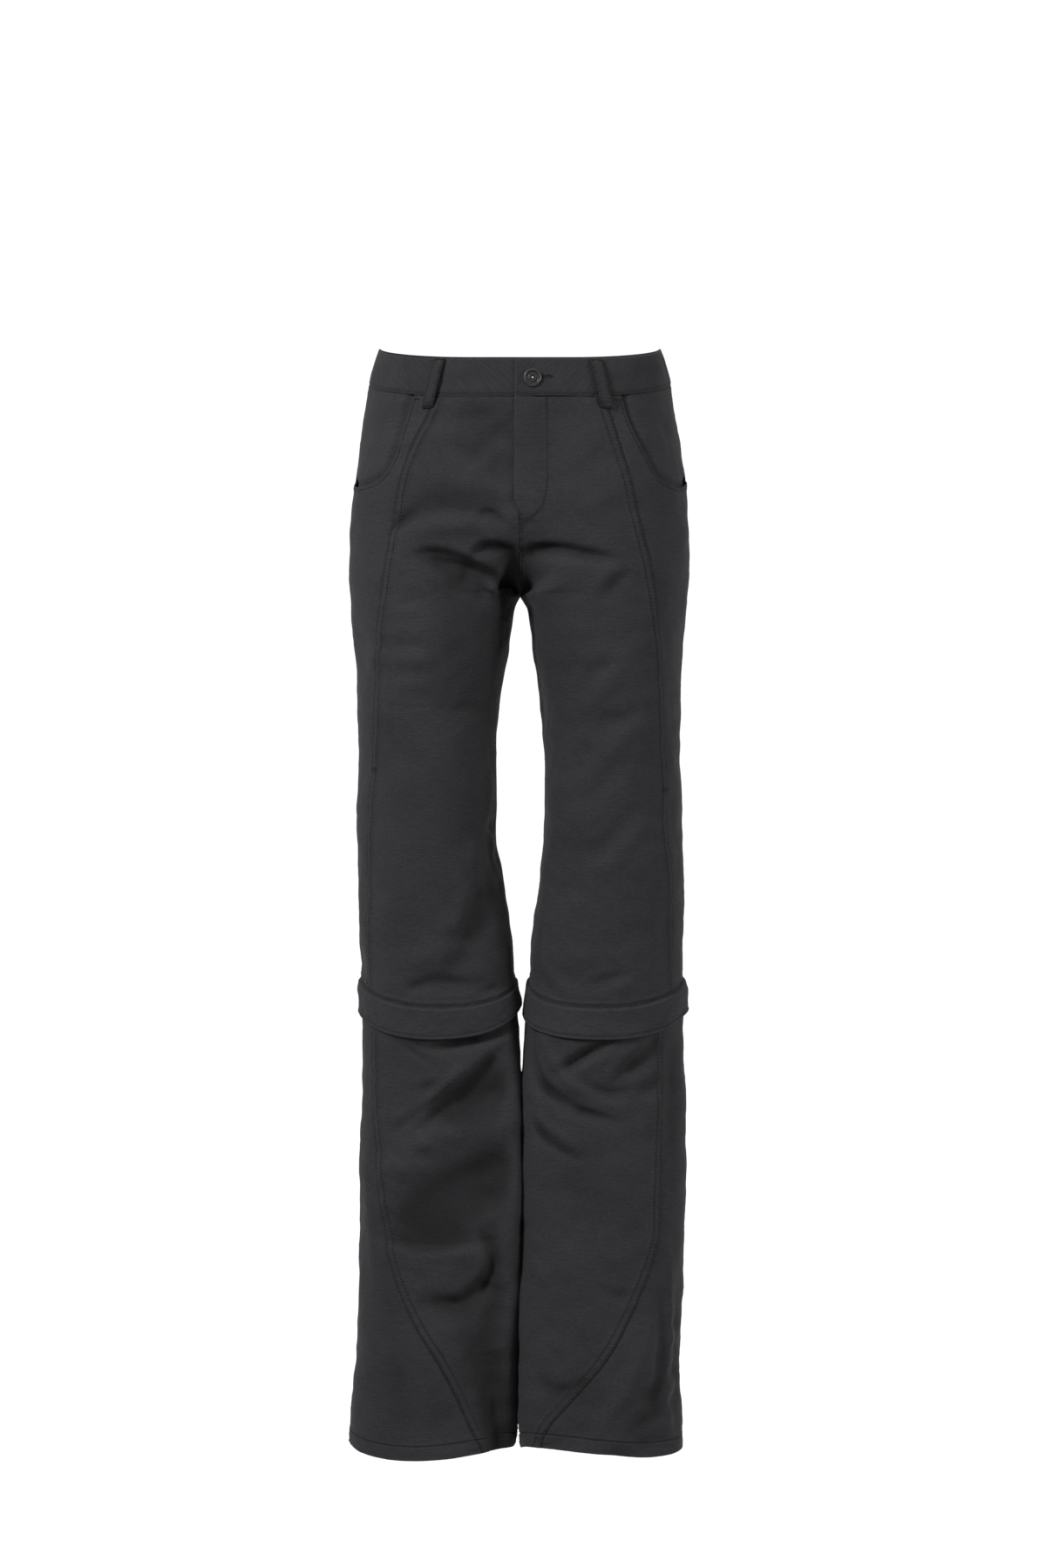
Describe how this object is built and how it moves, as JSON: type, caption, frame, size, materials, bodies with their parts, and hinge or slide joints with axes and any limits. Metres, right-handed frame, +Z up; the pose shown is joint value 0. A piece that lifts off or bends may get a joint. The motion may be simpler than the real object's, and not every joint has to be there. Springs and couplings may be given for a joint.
{
  "type": "convertible trousers",
  "caption": "Worn-form hollow trousers in dark woven cloth, with zip-off legs under knee bands, a curved lower seam, scoop pockets, belt loops and a buttoned fly.",
  "frame": {"origin": "centre of the waist opening, level with the waistband's top edge at the sides, where the wearer holds the trousers up", "axes": "+Z up to the wearer's waist, front faces -Y, +X towards the wearer's left"},
  "size_m": [0.3234, 0.2201, 1.0519],
  "materials": {
    "cloth": "matt charcoal-black woven cloth with a fine cross rib",
    "band_cloth": "matt charcoal-black cloth with a diagonal twill face",
    "zip_tape": "black woven tape",
    "button": "black, slightly glossy, with a raised rim",
    "tack": "small bright metal tack"
  },
  "bodies": {
    "root": {"back_left": "cloth", "back_right": "cloth", "belt_loop_back_centre": "band_cloth", "belt_loop_back_left": "band_cloth", "belt_loop_back_right": "band_cloth", "belt_loop_front_left": "band_cloth", "belt_loop_front_right": "band_cloth", "button": "button", "button_tack": "tack", "fly_shield": "cloth", "front_centre_left": "cloth", "front_centre_right": "cloth", "front_side_left": "cloth", "front_side_right": "cloth", "knee_band_left": "cloth", "knee_band_right": "cloth", "lower_back_left": "cloth", "lower_back_right": "cloth", "lower_front_left": "cloth", "lower_front_right": "cloth", "lower_side_left": "cloth", "lower_side_right": "cloth", "pocket_facing_left": "cloth", "pocket_facing_right": "cloth", "waistband_back": "band_cloth", "waistband_front_left": "band_cloth", "waistband_front_right": "band_cloth", "zip_tape_left": "zip_tape", "zip_tape_right": "zip_tape"}
  },
  "joints": []
}
